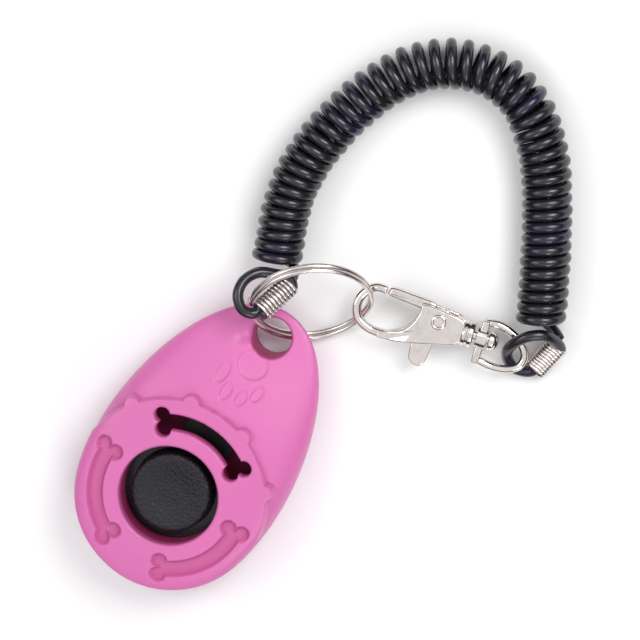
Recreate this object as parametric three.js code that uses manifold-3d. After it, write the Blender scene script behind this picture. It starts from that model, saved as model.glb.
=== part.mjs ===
// Dog-training clicker with a key ring and a spiral wrist coil on a swivel clasp.
// Millimetres, +Z up.  The casing lies on its back: the origin is on the back face, under the
// centre of the button; +Y runs along the casing to the key-ring hole at its narrow end.
import * as THREE from 'three';
import { mergeVertices } from 'three/addons/utils/BufferGeometryUtils.js';
import Module from 'manifold-3d';

const wasm = await Module();
wasm.setup();

// ---- driving dimensions -------------------------------------------------------------------
const GAP = 0.3; // between pieces that touch
const EGG = { middle: 11, half: 33.9, w0: 21, w1: -3.1, w2: 1.4 }; // casing outline, see eggPoint
const SEAM_Z = 5.8; // parting line of the two shells
const SEAM_GAP = 0.2;
const TOP_Z = 15; // flat round plateau about the button
const SHOULDER_Z = 14.5; // casing beside the plateau
const TIP_Z = 7.2; // casing top at the narrow tip
const SLOPE = [13, 47]; // Y range in which the top falls from SHOULDER_Z to TIP_Z
const TIP_RISE = 2.6; // how far the back rises at the narrow tip
const BACK_SLOPE = [20, 46];
const WALL = 2.1;
const PLATEAU_R = 20.8;
const TABS = { count: 10, radius: 20.4, r: 1.9, first: 18 };
const BONES = { radius: 15.8, bar: 3.5, lobe: 1.5, spread: 1.5, half: 36, at: [90, 210, 330] };
const BONE_DEPTH = 1.3;
const OPENING_R = 10.6;
const COLLAR_R = 12.1; // guide wall round the opening
const COLLAR_Z = 8.1;
const BUTTON = { r: 8.5, top: 12.2, flangeR: 11.9, flangeTop: 7.8, flangeLow: 6.6, stemR: 2.6 };
const RING_HOLE = { y: 39, r: 4, flare: 2.4, low: 2.6, high: 7.6 };
const CAVITY_END_Y = 31;

const LEAF = { width: 11, thick: 0.4, z: 4.5, low: -9.5, high: 20, pivotY: 17 };
const RIVET_X = 3;
const RIVET_R = 0.85;

const RING = { r: 12.5, wire: 0.52, pitch: 1.12 }; // split ring, two turns
const RING_CENTRE = new THREE.Vector3(2.85, 50.7, 10.1);
const RING_TILT = 45.6; // degrees from level
const RING_TURN = -39.6; // heading of its leaning normal

const CORD_R = 1.15;
const COIL_R = 5.25; // outside radius of the spiral
const COIL_Z = 5.35;

const CLASP = { x: 27, y: 61.5, z: 5, turn: 15.5, dip: 2.5 }; // its rivet, heading and dip
const HOOK_R = 1.05;
const PLATE_HALF = 2.5;
const BAIL_R = 0.85;
const GATE = { half: 1.1, hubR: 2.3 };
const RIVET_HOLE_R = 1.15;
const GATE_SPRING = { x: 2.5, y: 0.3, length: 2.4, r: 0.6, turns: 4, wire: 0.14 };

// ---- helpers ------------------------------------------------------------------------------
const radians = THREE.MathUtils.degToRad;
const v3 = (x, y, z) => new THREE.Vector3(x, y, z);

// A closed geometry as a manifold solid.
function solid(geometry) {
  let bare = geometry.clone();
  bare.deleteAttribute('normal');
  bare.deleteAttribute('uv');
  bare = mergeVertices(bare, 1e-4);
  const triVerts = Uint32Array.from(bare.index.array);
  const vertProperties = Float32Array.from(bare.attributes.position.array);
  const made = new wasm.Manifold(new wasm.Mesh({ numProp: 3, vertProperties, triVerts }));
  if (made.volume() > 0) return made;
  for (let i = 0; i < triVerts.length; i += 3) {
    [triVerts[i], triVerts[i + 1]] = [triVerts[i + 1], triVerts[i]];
  }
  return new wasm.Manifold(new wasm.Mesh({ numProp: 3, vertProperties, triVerts }));
}

function geometryOf(made) {
  const mesh = made.getMesh();
  const geometry = new THREE.BufferGeometry();
  geometry.setAttribute('position', new THREE.BufferAttribute(mesh.vertProperties, 3));
  geometry.setIndex(new THREE.BufferAttribute(mesh.triVerts, 1));
  geometry.computeVertexNormals();
  return geometry;
}

function cylinder(radius, low, high, x = 0, y = 0, sides = 40) {
  const geometry = new THREE.CylinderGeometry(radius, radius, high - low, sides);
  return geometry.rotateX(Math.PI / 2).translate(x, y, (low + high) / 2);
}

function box(lo, hi) {
  const size = [0, 1, 2].map((i) => hi[i] - lo[i]);
  const mid = [0, 1, 2].map((i) => (hi[i] + lo[i]) / 2);
  return new THREE.BoxGeometry(...size).translate(...mid);
}

// Solid of revolution about +Z; the profile [radius, z] starts and ends on the axis.
function lathe(profile, sides = 40) {
  const points = profile.map(([r, z]) => new THREE.Vector2(r, z));
  return new THREE.LatheGeometry(points, sides).rotateX(Math.PI / 2);
}

function plate(outline, low, high) {
  const shape = new THREE.Shape(outline.map(([x, y]) => new THREE.Vector2(x, y)));
  const options = { depth: high - low, bevelEnabled: false };
  return new THREE.ExtrudeGeometry(shape, options).translate(0, 0, low);
}

// Oval section carried along a smooth curve through the points.
function tube(points, radius, steps, sides = 8, wide = radius) {
  const section = [];
  for (let i = 0; i < sides; i++) {
    const a = (2 * Math.PI * i) / sides;
    section.push(new THREE.Vector2(radius * Math.cos(a), wide * Math.sin(a)));
  }
  const extrudePath = new THREE.CatmullRomCurve3(points, false, 'centripetal');
  return new THREE.ExtrudeGeometry(new THREE.Shape(section), { steps, extrudePath });
}

function part(name, geometry, material) {
  const mesh = new THREE.Mesh(geometry, material);
  mesh.name = name;
  return mesh;
}

const finish = (color, roughness, metalness) =>
  new THREE.MeshStandardMaterial({ color, roughness, metalness });
const pinkPlastic = () => finish(0xe27cbd, 0.42, 0);
const blackPlastic = () => finish(0x17171b, 0.35, 0);
const blackCord = () => finish(0x121216, 0.25, 0);
const nickel = () => finish(0xb9b4b0, 0.22, 1);
const springSteel = () => finish(0x9da3aa, 0.3, 1);

// ---- casing -------------------------------------------------------------------------------
// Outline of the casing: an ellipse whose width grows towards the button end.
function eggPoint(angle, inset) {
  const c = Math.cos(angle);
  const width = EGG.w0 + EGG.w1 * c + EGG.w2 * c * c - inset;
  return [Math.sin(angle) * width, (EGG.half - inset) * c];
}

const ease = (t) => {
  const u = THREE.MathUtils.clamp(t, 0, 1);
  return u * u * (3 - 2 * u);
};
const fall = (y, [from, to]) => ease((y - from) / (to - from));

// Cushion-shaped solid over the outline: a sphere whose plan is stretched to the outline and
// whose height follows a superellipse of the given power, sloping down to the narrow tip.
function cushion({ inset = 0, power = 3.2, top = SHOULDER_Z, tip = TIP_Z, low = -0.5 }) {
  const geometry = new THREE.SphereGeometry(1, 60, 30).rotateX(Math.PI / 2);
  const at = geometry.attributes.position;
  for (let i = 0; i < at.count; i++) {
    const around = Math.atan2(at.getX(i), at.getY(i));
    const flat = Math.min(1, Math.hypot(at.getX(i), at.getY(i)));
    const out = Math.pow(flat, 2 / power);
    const up = Math.pow(Math.abs(at.getZ(i)), 2 / power) * Math.sign(at.getZ(i));
    const [x, y] = eggPoint(around, inset);
    const placeY = EGG.middle + y * out;
    const crown = top - (top - tip) * fall(placeY, SLOPE) - inset;
    const base = low + TIP_RISE * fall(placeY, BACK_SLOPE) + inset;
    const z = up > 0 ? SEAM_Z + up * (crown - SEAM_Z) : SEAM_Z + up * (SEAM_Z - base);
    at.setXYZ(i, x * out, placeY, z);
  }
  return solid(geometry);
}

// Curved dog-bone: an arc-shaped bar with two lobes at each end.
function bone(angle, low, high) {
  const { radius, bar, lobe, spread, half } = BONES;
  const rim = [];
  for (const [side, from, to] of [[1, -half, half], [-1, half, -half]]) {
    for (let i = 0; i <= 14; i++) {
      const a = radians(angle + from + ((to - from) * i) / 14);
      const r = radius + (side * bar) / 2;
      rim.push([r * Math.cos(a), r * Math.sin(a)]);
    }
  }
  let made = solid(plate(rim, low, high));
  for (const end of [-half, half]) {
    for (const side of [-1, 1]) {
      const a = radians(angle + end);
      const r = radius + side * spread;
      made = made.add(solid(cylinder(lobe + 0.2, low, high, r * Math.cos(a), r * Math.sin(a), 16)));
    }
  }
  return made;
}

function plateau() {
  let disc = solid(cylinder(PLATEAU_R, SEAM_Z, TOP_Z + 1, 0, 0, 60));
  for (let i = 0; i < TABS.count; i++) {
    const a = radians(90 + TABS.first + (360 / TABS.count) * i);
    const x = TABS.radius * Math.cos(a);
    const y = TABS.radius * Math.sin(a);
    disc = disc.add(solid(cylinder(TABS.r, SEAM_Z, TOP_Z + 1, x, y, 12)));
  }
  return disc.intersect(cushion({ power: 7, top: TOP_Z, tip: TOP_Z }));
}

function cavity() {
  const hollow = cushion({ inset: WALL, power: 3.2, low: -0.3 });
  return hollow.intersect(solid(box([-30, -30, 1.8], [30, CAVITY_END_Y, TOP_Z - 2.4])));
}

// Key-ring hole with both mouths rounded off.
function ringHole() {
  const { y, r, flare, low, high } = RING_HOLE;
  const bend = [0, 30, 60, 90].map(radians);
  const mouth = bend.map((a) => [r + flare * (1 - Math.cos(a)), flare * (1 - Math.sin(a))]);
  const profile = [[0, -5], [r + flare, -5]];
  profile.push(...mouth.toReversed().map(([radius, rise]) => [radius, low + rise]));
  profile.push(...mouth.map(([radius, rise]) => [radius, high - rise]));
  profile.push([r + flare, 20], [0, 20]);
  return solid(lathe(profile, 32).translate(0, y, 0));
}

function frontShell() {
  const above = solid(box([-40, -40, SEAM_Z + SEAM_GAP / 2], [40, 60, 30]));
  let shell = cushion({}).add(plateau()).intersect(above);
  shell = shell.subtract(cavity());
  shell = shell.add(solid(cylinder(COLLAR_R, COLLAR_Z, TOP_Z - 1, 0, 0, 48)));
  shell = shell.subtract(solid(cylinder(OPENING_R, 0, 20, 0, 0, 48)));
  shell = shell.subtract(bone(BONES.at[0], 8, 20));
  shell = shell.subtract(bone(BONES.at[1], TOP_Z - BONE_DEPTH, 20));
  shell = shell.subtract(bone(BONES.at[2], TOP_Z - BONE_DEPTH, 20));
  return geometryOf(shell.subtract(ringHole()));
}

function backShell() {
  const below = solid(box([-40, -40, 0], [40, 60, SEAM_Z - SEAM_GAP / 2]));
  let shell = cushion({}).intersect(below).subtract(cavity());
  const boss = [[-6, LEAF.pivotY - 2], [6, LEAF.pivotY - 2], [6, LEAF.pivotY + 2.5], [-6, LEAF.pivotY + 2.5]];
  shell = shell.add(solid(plate(boss, 1, LEAF.z - GAP)));
  for (const x of [-RIVET_X, RIVET_X]) {
    shell = shell.subtract(solid(cylinder(RIVET_R + GAP, 1.4, 9, x, LEAF.pivotY, 16)));
  }
  return geometryOf(shell.subtract(ringHole()));
}

function buttonCap() {
  const { r, top, flangeR, flangeTop, flangeLow, stemR } = BUTTON;
  return lathe([
    [0, LEAF.z + LEAF.thick + GAP],
    [stemR, LEAF.z + LEAF.thick + GAP],
    [stemR, flangeLow],
    [flangeR, flangeLow],
    [flangeR, flangeTop],
    [r + 0.2, flangeTop],
    [r, top - 1],
    [r - 0.4, top - 0.3],
    [r - 1.1, top],
    [r - 2.2, top - 0.25],
    [r - 4.5, top - 0.6],
    [0, top - 0.75],
  ], 48);
}

function clickLeaf() {
  const { width, thick, z, low, high, pivotY } = LEAF;
  const half = width / 2;
  const strip = [[-half, low + 3], [-half + 3, low], [half - 3, low], [half, low + 3], [half, high], [-half, high]];
  let leaf = solid(plate(strip, z, z + thick));
  for (const x of [-RIVET_X, RIVET_X]) {
    leaf = leaf.subtract(solid(cylinder(RIVET_R + GAP, z - 1, z + 2, x, pivotY, 16)));
  }
  return geometryOf(leaf);
}

function leafRivet(x) {
  const top = LEAF.z + LEAF.thick + GAP;
  const profile = [[0, 1.7], [RIVET_R, 1.7], [RIVET_R, top], [1.9, top], [1.5, top + 0.6], [0, top + 0.8]];
  return lathe(profile, 16).translate(x, LEAF.pivotY, 0);
}

// ---- key ring -----------------------------------------------------------------------------
// Two turns of wire side by side.  Each turn lies flat but for a short crossing stretch.
function keyRing() {
  const { r, wire, pitch } = RING;
  const points = [];
  const steps = 96;
  for (let i = 0; i <= steps; i++) {
    const turns = 0.006 + (1.988 * i) / steps;
    const crossing = Math.floor(turns) + ease(((turns % 1) - 0.42) / 0.16);
    const a = 2 * Math.PI * turns + radians(200);
    points.push(v3(r * Math.cos(a), r * Math.sin(a), (crossing - 1) * pitch));
  }
  const lean = new THREE.Quaternion().setFromAxisAngle(
    v3(-Math.sin(radians(RING_TURN)), Math.cos(radians(RING_TURN)), 0), radians(RING_TILT));
  const placed = points.map((p) => p.applyQuaternion(lean).add(RING_CENTRE));
  return tube(placed, wire, 120, 8);
}

// ---- wrist coil ---------------------------------------------------------------------------
const coilRoute = [
  [-8.3, 53.2], [-9.3, 56], [-11.6, 61.5], [-13.4, 68], [-13.9, 75.6], [-12.9, 84], [-10.3, 93.6],
  [-6, 101.9], [-0.6, 107.2], [5.9, 110.1], [12.3, 110.6], [18.1, 108.9], [22.8, 105.6], [27, 101.6],
  [31.5, 95.5], [35.8, 88.7], [40.3, 80.9], [43.1, 75.8], [44.3, 73.6],
].map(([x, y]) => v3(x, y, COIL_Z));

const leftLoopRoute = [
  v3(-6, 52, 10.4), v3(-9.4, 50.6, 12.9), v3(-10.9, 47.8, 14.6), v3(-10.3, 44.9, 15.7),
  v3(-8.2, 43, 15.9), v3(-6.2, 42.9, 15.2), v3(-5.1, 43.8, 14.4),
];
const leftCrimpEnds = [v3(-4.8, 44.4, 13.8), v3(-2.8, 51.3, 9.9)];

const rightLoopRoute = [
  v3(44.2, 69.9, 8.6), v3(42.7, 67.4, 7.9), v3(42.1, 64.6, 5.9), v3(43, 62.2, 3),
  v3(45.2, 60.9, 1.5), v3(47.8, 61.7, 1.5), v3(48.9, 62.9, 1.9),
];
const rightCrimpEnds = [v3(49.2, 63.8, 2.4), v3(50.2, 70.4, 3.4)];

// Straight oval ferrule over the two strands of a loop.
function crimp([from, to]) {
  return tube([from, from.clone().lerp(to, 0.5), to], 1.75, 2, 12, 2.2);
}

// ---- swivel clasp, drawn about its rivet with +X towards the swivel -------------------------
function claspBody() {
  const route = [
    [-12.4, 2.6], [-14.2, 2.6], [-15.8, 1.6], [-17, -0.2], [-17.3, -2.4], [-16.3, -4.8],
    [-13.9, -6.2], [-11.2, -6.5], [-8.3, -6], [-5, -4.4],
  ].map(([x, y]) => v3(x, y, 0));
  const outline = [
    [-4.4, 2.9], [5.6, 2.1], [5.6, -3.5], [-5, -6.3], [-9, -7.3], [-9, -5.6], [-6.6, -4], [-5, -1.8], [-4.3, 0.6],
  ];
  let body = solid(tube(route, HOOK_R, 30, 10)).add(solid(plate(outline, -PLATE_HALF, PLATE_HALF)));
  const collar = new THREE.CylinderGeometry(2.9, 2.9, 2.4, 20).rotateZ(Math.PI / 2).translate(6.5, -0.8, 0);
  body = body.add(solid(collar));
  const slot = box([-4.8, -20, -GATE.half - 0.25], [3.2, 6, GATE.half + 0.25]);
  const { x, y, length, r } = GATE_SPRING;
  const pocket = box([3, y - r - 0.35, -GATE.half], [x + length + GAP, y + r + 0.35, GATE.half]);
  body = body.subtract(solid(slot)).subtract(solid(pocket));
  return geometryOf(body.subtract(solid(cylinder(RIVET_HOLE_R, -6, 6, 0, 0, 20))));
}

// Small compression spring in the plate's pocket, which pushes the gate shut.
function gateSpring() {
  const { x, y, length, r, turns, wire } = GATE_SPRING;
  const points = [];
  for (let i = 0; i <= turns * 10; i++) {
    const a = (2 * Math.PI * i) / 10;
    const along = x + wire + ((length - 2 * wire) * i) / (turns * 10);
    points.push(v3(along, y + r * Math.cos(a), r * Math.sin(a)));
  }
  return tube(points, wire, turns * 10, 6);
}

function claspGate() {
  const bar = [[-12, 1.7], [-11.5, 3.9], [-1.2, 3.4], [-1.2, 1.2], [-4, 1.2]];
  const tab = [[-1.7, -1], [1.6, -1], [0.2, -8.6], [-1, -10.6], [-2.4, -10.8], [-3.6, -9.8], [-3.9, -8.2]];
  let gate = solid(plate(bar, -GATE.half, GATE.half)).add(solid(plate(tab, -GATE.half, GATE.half)));
  gate = gate.add(solid(cylinder(GATE.hubR, -GATE.half, GATE.half, 0, 0, 24)));
  return geometryOf(gate.subtract(solid(cylinder(RIVET_HOLE_R, -6, 6, 0, 0, 20))));
}

function gateRivet() {
  const low = -PLATE_HALF - 0.35;
  const high = PLATE_HALF + 0.35;
  const profile = [
    [0, low], [0.85, low], [0.85, high], [0.5, high], [0.45, high - 1.2], [0, high - 1.3],
  ];
  return lathe(profile, 20);
}

function swivelPost() {
  const profile = [[0, 7.95], [1.15, 7.95], [1.15, 10.9], [2.1, 10.9], [2.1, 11.9], [1.5, 12.7], [0, 13]];
  return lathe(profile, 24).rotateY(Math.PI / 2).translate(0, -0.8, 0);
}

// D-shaped bail: an eye round the swivel post and a bow of wire.
function swivelBail() {
  const bow = [
    [9.2, 2.5], [11.5, 2.9], [14.5, 2.3], [17.2, 0.7], [18.9, -1.6], [18.6, -4], [16.4, -5.5],
    [13, -6], [9.8, -5.6],
  ].map(([x, y]) => v3(x, y, 0));
  const eye = [[8.3, 3.4], [10.5, 3.4], [10.5, -6.5], [8.3, -6.5]];
  let bail = solid(plate(eye, -1.9, 1.9)).add(solid(tube(bow, BAIL_R, 28, 8)));
  const bore = new THREE.CylinderGeometry(1.45, 1.45, 6, 20).rotateZ(Math.PI / 2).translate(9.5, -0.8, 0);
  return geometryOf(bail.subtract(solid(bore)));
}

// ---- assembly -----------------------------------------------------------------------------
const group = new THREE.Group();

const casing = new THREE.Group();
casing.add(part('front_shell', frontShell(), pinkPlastic()));
casing.add(part('back_shell', backShell(), pinkPlastic()));
casing.add(part('button_cap', buttonCap(), blackPlastic()));
casing.add(part('click_leaf', clickLeaf(), springSteel()));
casing.add(part('leaf_rivet_left', leafRivet(-RIVET_X), nickel()));
casing.add(part('leaf_rivet_right', leafRivet(RIVET_X), nickel()));
group.add(casing);

group.add(part('key_ring', keyRing(), nickel()));

const strap = new THREE.Group();
strap.add(part('wrist_coil', tube(coilRoute, COIL_R, 20, 12), blackCord()));
strap.add(part('left_loop', tube(leftLoopRoute, CORD_R, 12, 8), blackCord()));
strap.add(part('right_loop', tube(rightLoopRoute, CORD_R, 12, 8), blackCord()));
strap.add(part('left_crimp', crimp(leftCrimpEnds), nickel()));
strap.add(part('right_crimp', crimp(rightCrimpEnds), nickel()));
group.add(strap);

const clasp = new THREE.Group();
clasp.position.set(CLASP.x, CLASP.y, CLASP.z);
clasp.rotation.set(0, radians(CLASP.dip), radians(CLASP.turn), 'ZYX');
clasp.add(part('clasp_body', claspBody(), nickel()));
clasp.add(part('clasp_gate', claspGate(), nickel()));
clasp.add(part('gate_spring', gateSpring(), springSteel()));
clasp.add(part('gate_rivet', gateRivet(), nickel()));
clasp.add(part('swivel_post', swivelPost(), nickel()));
clasp.add(part('swivel_bail', swivelBail(), nickel()));
group.add(clasp);

export default group;
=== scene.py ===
"""Dog-training clicker: egg-shaped casing, button, split key ring, spiral wrist cord, swivel clasp.

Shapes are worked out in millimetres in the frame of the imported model: the origin is on the
casing's back under the button, +Y runs to the key-ring hole and +Z out of the button.
"""

import bpy
import numpy as np
from bpy.props import FloatProperty, FloatVectorProperty, IntProperty, PointerProperty
from mathutils import Matrix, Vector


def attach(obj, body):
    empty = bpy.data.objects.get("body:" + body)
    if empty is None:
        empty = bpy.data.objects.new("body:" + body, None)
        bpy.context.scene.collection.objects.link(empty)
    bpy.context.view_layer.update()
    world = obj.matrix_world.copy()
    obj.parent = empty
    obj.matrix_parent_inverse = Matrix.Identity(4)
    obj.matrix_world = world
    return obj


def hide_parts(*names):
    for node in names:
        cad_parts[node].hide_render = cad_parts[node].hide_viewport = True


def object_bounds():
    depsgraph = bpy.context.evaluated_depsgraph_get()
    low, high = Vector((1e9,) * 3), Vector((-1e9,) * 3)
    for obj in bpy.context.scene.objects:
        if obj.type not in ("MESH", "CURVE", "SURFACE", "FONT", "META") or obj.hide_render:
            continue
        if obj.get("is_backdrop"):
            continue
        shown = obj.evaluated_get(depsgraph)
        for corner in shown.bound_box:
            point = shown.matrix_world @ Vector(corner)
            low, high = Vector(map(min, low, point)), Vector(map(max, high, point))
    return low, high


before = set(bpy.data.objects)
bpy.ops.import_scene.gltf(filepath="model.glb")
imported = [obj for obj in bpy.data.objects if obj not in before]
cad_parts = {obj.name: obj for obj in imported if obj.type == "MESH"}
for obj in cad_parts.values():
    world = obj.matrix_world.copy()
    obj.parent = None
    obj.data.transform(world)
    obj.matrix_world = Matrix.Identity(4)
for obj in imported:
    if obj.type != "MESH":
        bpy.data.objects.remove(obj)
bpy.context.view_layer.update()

bl_info = {
    "name": "Clicker trainer",
    "version": (1, 0, 0),
    "blender": (4, 5, 0),
    "location": "View3D > Sidebar > Clicker",
    "description": "Builds a dog-training clicker with its key ring, wrist cord and swivel clasp",
    "category": "Add Mesh",
}

MM = 0.001

# Casing
EGG_MIDDLE, EGG_HALF, EGG_WIDTHS = 11.0, 33.9, (21.0, -3.1, 1.4)
SEAM_Z, SEAM_GAP = 5.8, 0.2
SHOULDER_Z, TOP_Z, TIP_Z = 14.5, 15.0, 7.2
TOP_SLOPE, BACK_SLOPE = (13.0, 47.0), (20.0, 46.0)
BACK_LOW, TIP_RISE = -0.5, 2.6
WALL = 2.1
CEILING_Z, FLOOR_Z, CAVITY_END_Y, CAVITY_GAP = 12.6, 1.8, 31.0, 0.3
BODY_POWER, PLATEAU_POWER = 3.2, 7  # how square the body's and the plateau's crowns are
PLATEAU_STEP, SLOT_RIM, BONE_STEP, PAD_STEP = 0.35, 0.55, 0.75, 0.42  # widths of the rolled edges
GROOVE = (0.09, 0.28, 0.25)  # its depth, its distance out from the plateau's edge, its width
PLATEAU_R, TAB_RING_R, TAB_R, TABS = 20.8, 20.4, 1.9, (0, 36, 72, 108, 144, 180)
OPENING_R, COLLAR_R, COLLAR_Z = 10.6, 12.1, 8.1
BONE_R, BONE_BAR, BONE_SPREAD, BONE_LOBE, BONE_HALF = 15.8, 3.5, 1.5, 1.7, 36.0
BONES = ((90.0, True), (210.0, False), (330.0, False))  # heading, goes right through
HOLE_Y, HOLE_R, HOLE_FLARE, HOLE_LOW, HOLE_HIGH = 39.0, 4.0, 2.4, 2.6, 7.6
HOLE_RIM, RING_OVER, RING_UNDER = 0.7, 158.0, 30.0  # the last two are headings of the ring's wire
CUT_LOW, CUT_HIGH = 7.0, 20.0  # ends of the cutters that pass through the front shell
PADS = (  # centre x, y, half width, half length, heading of the paw's five pads
    (-0.2, 32.4, 3.3, 2.9, 0.0), (-4.6, 28.2, 1.25, 2.4, 4.0), (-1.8, 25.3, 1.1, 1.95, 2.0),
    (1.7, 25.6, 1.05, 1.65, -4.0), (4.0, 28.0, 1.05, 1.75, -6.0),
)

# Key ring
RING_R, RING_WIRE, RING_PITCH = 12.5, 0.52, 1.12
RING_CENTRE = (2.85, 50.7, 10.1)
RING_TILT, RING_TURN = 45.6, -39.6
RING_START, RING_ENDS, RING_CROSSING = 200, 0.006, (0.42, 0.16)  # degrees, then shares of a turn

# Wrist cord
COIL_Z = 5.35
COIL_ROUTE = (
    (-7.9, 52.1), (-9.3, 56), (-11.6, 61.5), (-13.4, 68), (-13.9, 75.6), (-12.9, 84),
    (-10.3, 93.6), (-6, 101.9), (-0.6, 107.2), (5.9, 110.1), (12.3, 110.6), (18.1, 108.9),
    (22.8, 105.6), (27, 101.6), (31.5, 95.5), (35.8, 88.7), (40.3, 80.9), (43.1, 75.8),
    (44.7, 72.5),
)
LEFT_LOOP = (
    (-3.9, 52.6, 10), (-6, 52, 11.4), (-9.4, 50.6, 13.2), (-10.9, 47.8, 14.6), (-10.3, 44.9, 15.7),
    (-8.2, 43, 15.9), (-6.2, 42.9, 15.2), (-5.1, 43.8, 14.4),
)
LEFT_CRIMP = ((-4.8, 44.4, 13.8), (-2.8, 51.3, 9.9))
RIGHT_LOOP = (
    (46.9, 71.6, 7.6), (44.2, 69.9, 8.6), (42.7, 67.4, 7.9), (42.1, 64.6, 5.9), (43, 62.2, 3),
    (45.2, 60.9, 1.5), (47.8, 61.7, 1.5), (48.9, 62.9, 1.9),
)
RIGHT_CRIMP = ((49.2, 63.8, 2.4), (50.2, 70.4, 3.4))
CRIMP_FACE = (0.04, 0.26, 0.97)  # the ferrules' flat side looks this way
CRIMP_TURNS, CRIMP_WIRE = 9.5, 0.38
CRIMPS = (  # node, ends, half width, half height, how narrow the upper end is
    ("left_crimp", LEFT_CRIMP, 2.75, 1.9, 0.84), ("right_crimp", RIGHT_CRIMP, 2.6, 1.85, 0.95),
)
COIL_STEPS = 40  # points in a turn
ARCH_SPREAD, ARCH_START, ARCH_END = 0.24, (0.12, 0.22), (0.76, 0.2)  # shares of the coil's route

# Clasp, drawn about its rivet with +X towards the swivel
CLASP_AT, CLASP_TURN, CLASP_DIP = (27.0, 61.5, 5.0), 15.5, 2.5
HOOK = (
    (-12.1, 2.6), (-14.2, 2.6), (-15.8, 1.6), (-17, -0.2), (-17.3, -2.4), (-16.3, -4.8),
    (-13.9, -6.2), (-11.2, -6.5), (-8.3, -6), (-5, -4.4),
)
PLATE = (
    (-4.4, 2.9), (5.6, 2.1), (5.6, -3.5), (-5, -6.3), (-8, -7.15), (-11.6, -7.4), (-11.6, -6.2), (-8.8, -5.2),
    (-6.6, -4), (-5, -1.8), (-4.3, 0.6),
)
BAR = ((-12, 1.7), (-11.5, 3.9), (-1.2, 3.4), (-1.2, 1.2), (-4, 1.2))
TAB = (
    (-2.6, -1), (1.4, -1), (0.2, -5), (-0.1, -8.6), (-0.6, -10.1), (-1.6, -10.75), (-3, -10.5), (-4.1, -9.4),
    (-4.3, -5.7),
)
BOW = (
    (9.2, 2.5), (11.5, 2.9), (14.5, 2.3), (17.2, 0.7), (18.9, -1.6), (18.6, -4), (16.4, -5.5),
    (13, -6), (9.8, -5.6),
)
PLATE_HALF, GATE_HALF, CHEEK_GAP = 2.5, 1.1, 0.25
SWIVEL_Y = -0.8

# Stage: the camera's own axes in the model's, what it looks at, and the width it sees
CAMERA_RIGHT = np.array([0.83170913, 0.52659511, -0.17594747])
CAMERA_UP = np.array([-0.55356584, 0.81088536, -0.18981513])
CAMERA_BACK = np.array([0.04271751, 0.25526949, 0.96592583])
CAMERA_TARGET = np.array([6.10, 46.62, 2.41]) * MM
LENS, SENSOR, VIEW_WIDTH = 200.0, 36.0, 0.1336
FLOOR_DROP, FLOOR_HALF, FLOOR_GREY = 0.4, 2000, 0.9
LAMPS = (  # name, place to the right, up and back of the target, size, share of the key's power
    ("key softbox", (0.22, 0.16, 0.55), 0.30, 1.0), ("fill softbox", (-0.42, 0.05, 0.4), 0.30, 0.35),
    ("low strip", (0.15, -0.5, 0.3), 0.2, 0.3),
)
SKY_BANDS = ((0.08, 0.05), (0.42, 0.05), (0.62, 0.92))  # height and grey; a dark band for metal to mirror


# ---- arrays ----

def ease(t):
    """Smooth rise from 0 to 1: 3t^2 - 2t^3 with t held between 0 and 1."""
    t = np.clip(t, 0, 1)
    return t * t * (3 - 2 * t)


def unit(vectors):
    """Each vector divided by its own length."""
    return vectors / np.maximum(np.linalg.norm(vectors, axis=-1, keepdims=True), 1e-12)


def smooth_path(points, count):
    """Centripetal Catmull-Rom curve through the points, as count places evenly spaced along it."""
    p = np.asarray(points, float)
    p = np.vstack([2 * p[0] - p[1], p, 2 * p[-1] - p[-2]])
    knots = np.concatenate([[0], np.cumsum(np.sqrt(np.linalg.norm(np.diff(p, axis=0), axis=1)))])
    t = np.linspace(knots[1], knots[-2], max(2000, 4 * count))
    i = np.clip(np.searchsorted(knots, t, side="right") - 1, 1, len(p) - 3)
    t0, t1, t2, t3 = (knots[i + k][:, None] for k in (-1, 0, 1, 2))
    p0, p1, p2, p3 = (p[i + k] for k in (-1, 0, 1, 2))
    t = t[:, None]
    a = (t1 - t) / (t1 - t0) * p0 + (t - t0) / (t1 - t0) * p1
    b = (t2 - t) / (t2 - t1) * p1 + (t - t1) / (t2 - t1) * p2
    c = (t3 - t) / (t3 - t2) * p2 + (t - t2) / (t3 - t2) * p3
    d = (t2 - t) / (t2 - t0) * a + (t - t0) / (t2 - t0) * b
    e = (t3 - t) / (t3 - t1) * b + (t - t1) / (t3 - t1) * c
    return even((t2 - t) / (t2 - t1) * d + (t - t1) / (t2 - t1) * e, count)


def even(points, count):
    """The same line with count points at equal distances along it."""
    s = np.concatenate([[0], np.cumsum(np.linalg.norm(np.diff(points, axis=0), axis=1))])
    at = np.linspace(0, s[-1], count)
    return np.stack([np.interp(at, s, points[:, k]) for k in range(points.shape[1])], -1)


def oval(sides, wide, high, power=2.0):
    """Superellipse section: each coordinate is its half size times cos or sin to the 2/power."""
    a = 2 * np.pi * np.arange(sides) / sides
    x, y = (np.sign(v) * np.abs(v) ** (2 / power) for v in (np.cos(a), np.sin(a)))
    return np.stack([wide * x, high * y], -1)


# ---- surfaces: each is (points, faces) ----

def lattice(points, close_rows=False, close_cols=False, flip=False, lids=(False, False)):
    """Quads between neighbouring rows and columns of a grid; a lid is a fan to the row's middle."""
    rows, cols = points.shape[:2]
    index = np.arange(rows * cols).reshape(rows, cols)
    if close_rows:
        index = np.vstack([index, index[:1]])
    if close_cols:
        index = np.hstack([index, index[:, :1]])
    quads = np.stack([index[:-1, :-1], index[:-1, 1:], index[1:, 1:], index[1:, :-1]], -1).reshape(-1, 4)
    places = [points.reshape(-1, 3)]
    faces = quads[:, ::-1].tolist() if flip else quads.tolist()
    for at_end, wanted in enumerate(lids):
        if wanted:
            rim = index[-1] if at_end else index[0]
            middle = sum(len(p) for p in places)
            places.append(places[0][rim].mean(0)[None])
            fan = np.stack([rim[1:], rim[:-1], np.full(len(rim) - 1, middle)], -1)
            if bool(at_end) != flip:
                fan = fan[:, ::-1]
            faces += fan.tolist()
    return np.vstack(places), faces


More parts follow.
